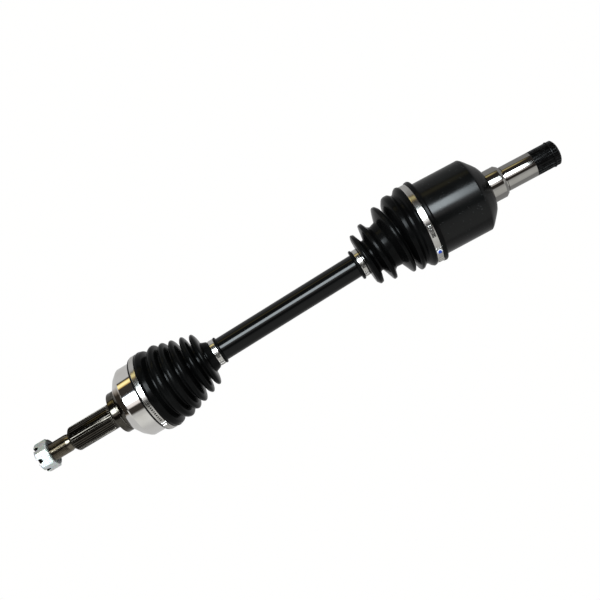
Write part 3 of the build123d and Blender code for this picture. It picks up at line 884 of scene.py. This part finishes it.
def band(name, axle, inner, thick, low, high, material, body, node, lap, marks, segments=1080):
    """A boot band: a strip round the boot, with a slot where its end stops, at the lap angle in
    degrees, and with stamped marks."""
    stamp = punched(marks)
    rows = 16
    rings = []
    outline = [(high - 0.05, inner), (low + 0.05, inner)]
    for k in range(rows + 1):
        across = k / rows
        outline.append((low + (high - low) * across, None))
    for distance, radius in outline:
        ring = []
        for i in range(segments):
            angle = 360.0 * i / segments
            signed = (angle + 180.0) % 360.0 - 180.0
            if radius is None:
                across = (distance - low) / (high - low)
                here = inner + thick
                edge = min(across, 1 - across) * (high - low)
                here -= 0.22 * (1 - smooth(edge / 0.45))
                if abs(signed - lap) <= LAP_GAP:
                    here -= LAP_DEPTH
                here -= stamp(signed, across)
            else:
                here = radius
            ring.append(axle.point(distance * MM, here * MM, math.radians(angle)))
        rings.append(ring)
    verts, faces = skin(rings, loop=True)
    made = piece(name, verts, faces, material, body, sharp=38.0)
    made.data.materials.append(MARKS_AND_PAINTED_SHADE)
    pressed = []
    for vertex in made.data.vertices:
        arm = vertex.co - axle.origin
        across = (arm.dot(axle.along) / MM - low) / (high - low)
        angle = math.degrees(math.atan2(arm.dot(axle.low), arm.dot(axle.top)))
        outer = (arm - axle.along * arm.dot(axle.along)).length > (inner + 0.1) * MM
        pressed.append(outer and stamp(angle, across) > 0)
    for face in made.data.polygons:
        if any(pressed[index] for index in face.vertices):
            face.material_index = 1
    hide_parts(node)
    return made


def ear(name, axle, radius, low, high, centre, width, height, material, body, node):
    """The crimped ear: a loop of strip pinched above the band."""
    half = math.degrees(width / 2 / radius)
    path = []
    for k in range(25):
        part = -1.0 + 2.0 * k / 24
        rise = height * (1 - abs(part) ** 3.2) ** 0.6 if abs(part) < 1 else 0.0
        pinch = 1.0 - 0.18 * math.sin(math.pi * min(1.0, rise / height))
        path.append((centre + half * part * pinch, radius + rise))
    thick = 0.75
    rings = []
    rows = [low + 0.55, low + 0.75] + spaced(low + 1.2, high - 1.2, 0.8) + [high - 0.75, high - 0.55]
    for distance in rows:
        edge = 0.18 if distance in (rows[0], rows[-1]) else 0.0
        ring = [axle.point(distance * MM, (r - edge) * MM, math.radians(a)) for a, r in path]
        for a, r in reversed(path):
            inner_angle = math.radians(centre + (a - centre) * 0.86)
            ring.append(axle.point(distance * MM, (r - thick + edge) * MM, inner_angle))
        rings.append(ring)
    verts, faces = skin(rings)
    made = piece(name, verts, faces, material, body, sharp=40.0)
    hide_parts(node)
    return made


def dab(name, axle, radius, distance, angle, size, thick, material, body, stretch=1.0):
    """A domed dab of marking paint on a band."""
    rings = []
    count = 28
    for k, (part, rise) in enumerate(((0.0, -0.2), (1.0, -0.2), (1.0, 0.25), (0.85, 0.8), (0.5, 1.0),
                                      (0.02, 1.05))):
        ring = []
        for i in range(count):
            turn = 2 * math.pi * i / count
            wobble = 1 + 0.12 * math.sin(2 * turn + 0.7) + 0.07 * math.sin(3 * turn)
            across = max(part, 0.01) * size * wobble
            ring.append(axle.point((distance + across * math.cos(turn)) * MM,
                                   (radius + thick * rise) * MM,
                                   math.radians(angle) + across * stretch * math.sin(turn) / radius))
        rings.append(ring)
    verts, faces = skin(rings)
    return piece(name, verts, faces, material, body, sharp=60.0)


def stamped_row(low, high, pitch, near, far, depth):
    """A row of short punch marks along a band, alternately long and split."""
    marks = []
    for k, start in enumerate(spaced(low, high - pitch, pitch)):
        end = start + pitch * 0.55
        if k % 3 == 1:
            marks.append((start, end, near, near + (far - near) * 0.4, depth))
            marks.append((start, end, far - (far - near) * 0.35, far, depth))
        else:
            marks.append((start, end, near, far, depth))
    return marks


def bands():
    """The four boot bands with their ears, and the paint dab on the gearbox-end one."""
    band("outboard_large_band", BELL, 43.3, 1.3, -18.9, -12.9, BAND, "outboard_housing",
         "outboard_large_clamp", 47.5, stamped_row(9.0, 44.0, 3.4, 0.28, 0.62, 0.28))
    ear("outboard_large_ear", BELL, 44.5, -18.9, -12.9, 55.0, 7.5, 2.2, BAND, "outboard_housing",
        "outboard_large_clamp")
    band("inboard_large_band", HOUSING, 44.95, 0.85, -28.9, -21.7, BAND, "inboard_housing",
         "inboard_large_clamp", 43.5, stamped_row(7.0, 26.0, 1.7, 0.25, 0.80, 0.20))
    ear("inboard_large_ear", HOUSING, 45.7, -28.9, -21.7, 72.0, 8.0, 2.2, BAND, "inboard_housing",
        "inboard_large_clamp")
    dab("white_dab", HOUSING, 45.8, -25.3, 51.0, 2.9, 0.28, DAB_WHITE, "inboard_housing", 1.2)
    dab("blue_dot", HOUSING, 46.25, -25.3, 51.5, 2.0, 0.25, DAB_BLUE, "inboard_housing", 1.45)
    for name, axle, inner, low, high in (("outboard", OUT_BAR, 14.4, -97.7, -91.8),
                                         ("inboard", IN_BAR, 15.5, -104.0, -98.4)):
        marks = [(-24.0, -18.0, 0.30, 0.75, 0.5), (-3.0, 3.0, 0.30, 0.75, 0.5)]
        marks += stamped_row(10.0, 26.0, 2.6, 0.20, 0.8, 0.06)
        band(f"{name}_small_band", axle, inner, 0.5, low, high, BAND, "shaft",
             f"{name}_small_clamp", 42.0, marks, segments=720)
        ear(f"{name}_small_ear", axle, inner + 0.45, low, high, 62.0, 5.2, 1.5, BAND, "shaft",
            f"{name}_small_clamp")


# ---- Inner pieces -----------------------------------------------------------
def inner_pieces():
    """Steels for the CAD pieces inside the joints, which keep their CAD shapes."""
    finishes = {"ball_cage": HARD_STEEL, "inner_race": HARD_STEEL, "tripod_spider": HARD_STEEL,
                "outboard_balls": BEARING_STEEL, "inner_race_clip": BLACK_OXIDE,
                "spider_clip": BLACK_OXIDE}
    for number in (1, 2, 3):
        finishes[f"roller_{number}"] = BEARING_STEEL
        finishes[f"needle_set_{number}"] = BEARING_STEEL
        finishes[f"roller_retainer_{number}"] = BLACK_OXIDE
    for node, material in finishes.items():
        for material_slot in frame["nodes"][node].material_slots:
            material_slot.material = material


# ---- Studio -----------------------------------------------------------------
PHOTO_TURN = -31.87           # the camera's turn about the vertical, in degrees
CAMERA_HEIGHT = 1.612
LENS = 90.0
AIM = (0.01119, 0.00044)
FLOOR_IN_METAL = 0.58
SHADOW_WEDGE = (-0.16, 0.56)          # where the painted shadow wedge on the floor starts and ends, about the bell, in radians
SOFTBOX = (19.0, 21.0, 22.0)
GOLD, GOLD_EDGE = (1.25, 1.12, 0.52), (0.80, 0.52, 0.17)
SOFTBOX_MIDDLE, SOFTBOX_REACH = -0.10, 0.40     # its middle and half its length, as X of direction


def floor():
    """A white floor: it shines evenly in the picture, dimmer in the metal and fading there towards +X as
    painted shade. The metal also sees a painted brown shadow on it, a wedge beyond the bell."""
    size, low = 6.0, cad_box[0][2] - 0.0002
    mesh = bpy.data.meshes.new("studio_floor")
    corners = [(-size, -size, low), (size, -size, low), (size, size, low), (-size, size, low)]
    mesh.from_pydata(corners, [], [(0, 1, 2, 3)])
    obj = bpy.data.objects.new("studio_floor", mesh)
    bpy.context.collection.objects.link(obj)
    material = bpy.data.materials.new("white_floor")
    material.use_nodes = True
    n = Nodes(material.node_tree)
    n.tree.nodes.remove(n.tree.nodes["Principled BSDF"])
    seen = n.add("ShaderNodeLightPath").outputs["Is Camera Ray"]
    place = n.add("ShaderNodeNewGeometry").outputs["Position"]
    from_bell = n.add("ShaderNodeVectorMath", {0: place, 1: tuple(BELL.origin)}, operation="SUBTRACT")
    parts = n.add("ShaderNodeSeparateXYZ", {0: from_bell.outputs["Vector"]})
    ahead = n.maths("MULTIPLY", parts.outputs["X"], -1.0)
    turn = n.maths("ARCTAN2", parts.outputs["Y"], ahead)
    within = n.maths("MULTIPLY", n.spread(turn, SHADOW_WEDGE[0] - 0.03, SHADOW_WEDGE[0] + 0.03),
                     n.spread(turn, SHADOW_WEDGE[1] - 0.12, SHADOW_WEDGE[1] + 0.12, 1.0, 0.0))
    # painted shadow: where, in the metal, the floor turns dim and brown beyond the bell
    wedge = n.maths("MULTIPLY", within, n.spread(ahead, 0.012, 0.030))
    # painted shade: in the metal the floor dims towards +X
    faded_shine = n.spread(parts.outputs["X"], 0.32, 0.44, FLOOR_IN_METAL, 0.6 * FLOOR_IN_METAL)
    in_metal = n.maths("MULTIPLY", faded_shine, n.spread(wedge, 0.0, 1.0, 1.0, 0.05))
    shine = n.maths("MAXIMUM", seen, in_metal)
    # the brown of the painted shadow, seen only in the metal
    brown = n.maths("MULTIPLY", wedge, n.maths("SUBTRACT", 1.0, seen))
    tint = n.mix(brown, (1.0, 1.0, 0.995), (1.0, 0.80, 0.62))
    glow = n.add("ShaderNodeEmission", {"Color": tint, "Strength": shine})
    n.tree.links.new(glow.outputs[0], n.tree.nodes["Material Output"].inputs["Surface"])
    mesh.materials.append(material)


def studio_light():
    """What the metal sees overhead, by angle from straight up towards +Y: a softbox, a gold
    reflector and dark gaps, in a pale tent. Along X the softbox and the reflector end soon."""
    world = bpy.data.worlds.new("studio")
    bpy.context.scene.world = world
    world.use_nodes = True
    n = Nodes(world.node_tree)
    where = n.add("ShaderNodeTexCoord").outputs["Generated"]
    parts = n.add("ShaderNodeSeparateXYZ", {0: where})
    lean = n.maths("ARCTAN2", parts.outputs["Y"], parts.outputs["Z"])
    share = n.spread(lean, -math.pi, math.pi)
    tent, bright, gap = (0.60, 0.60, 0.59), (0.72, 0.72, 0.70), (0.040, 0.034, 0.030)
    sides = [(-180, tent), (-90, tent), (-72, bright), (-50, bright), (-38, tent), (-33, tent), (-26, gap)]
    over = [(-8, gap), (-4, (0.95, 0.88, 0.86)), (7, (1.15, 1.12, 1.12)), (13, SOFTBOX),
            (31, SOFTBOX), (34, (1.10, 1.12, 1.15)), (36, (0.32, 0.36, 0.42)), (40, gap),
            (87, gap), (91, tent), (180, tent)]
    gold = [(66, (0, 0, 0)), (69, GOLD_EDGE), (73, GOLD), (79, GOLD), (82, GOLD_EDGE), (84, (0, 0, 0))]
    ends = sides + [(85, gap), (91, tent), (180, tent)]
    overhead = n.ramp(share, [((a + 180) / 360, c) for a, c in sides + over])
    beyond = n.ramp(share, [((a + 180) / 360, c) for a, c in ends])
    near = n.ramp(share, [((a + 180) / 360, c) for a, c in gold])
    fade = n.spread(parts.outputs["X"], -0.02, 0.10, 1.0, 0.5)
    added = n.add("ShaderNodeMix", data_type="RGBA", blend_type="ADD")
    for index, socket in ((0, fade), (6, overhead), (7, near)):
        world.node_tree.links.new(socket, added.inputs[index])
    offset = n.maths("ABSOLUTE", n.maths("SUBTRACT", parts.outputs["X"], SOFTBOX_MIDDLE))
    inside = n.spread(offset, SOFTBOX_REACH, SOFTBOX_REACH + 0.06, 1.0, 0.0)
    blend = n.add("ShaderNodeMix", data_type="RGBA")
    for index, socket in ((0, inside), (6, beyond), (7, added.outputs[2])):
        world.node_tree.links.new(socket, blend.inputs[index])
    plain = n.add("ShaderNodeBackground", {"Color": (0.93, 0.93, 0.93, 1), "Strength": 1.0})
    lit = n.add("ShaderNodeBackground", {"Color": blend.outputs[2], "Strength": 1.0})
    seen = n.add("ShaderNodeLightPath").outputs["Is Camera Ray"]
    both = n.add("ShaderNodeMixShader", {0: seen, 1: lit.outputs[0], 2: plain.outputs[0]})
    output = world.node_tree.nodes.get("World Output") or n.add("ShaderNodeOutputWorld")
    world.node_tree.links.new(both.outputs[0], output.inputs["Surface"])


def camera():
    """Straight above the bar, turned so that the bar rises to the right."""
    data = bpy.data.cameras.new("camera")
    data.lens = LENS
    data.sensor_width = 36.0
    data.clip_end = 50.0
    obj = bpy.data.objects.new("camera", data)
    obj.location = (AIM[0], AIM[1], CAMERA_HEIGHT)
    obj.rotation_euler = (0, 0, math.radians(PHOTO_TURN))
    bpy.context.collection.objects.link(obj)
    bpy.context.scene.camera = obj


camera()
studio_light()
floor()
bell()
hub_collar()
hub_spline()
hub_thread()
hub_nut()
bar()
housing()
gearbox_stub()
snap_ring()
outboard_boot()
inboard_boot()
bands()
inner_pieces()
bpy.context.scene.view_settings.view_transform = "Standard"
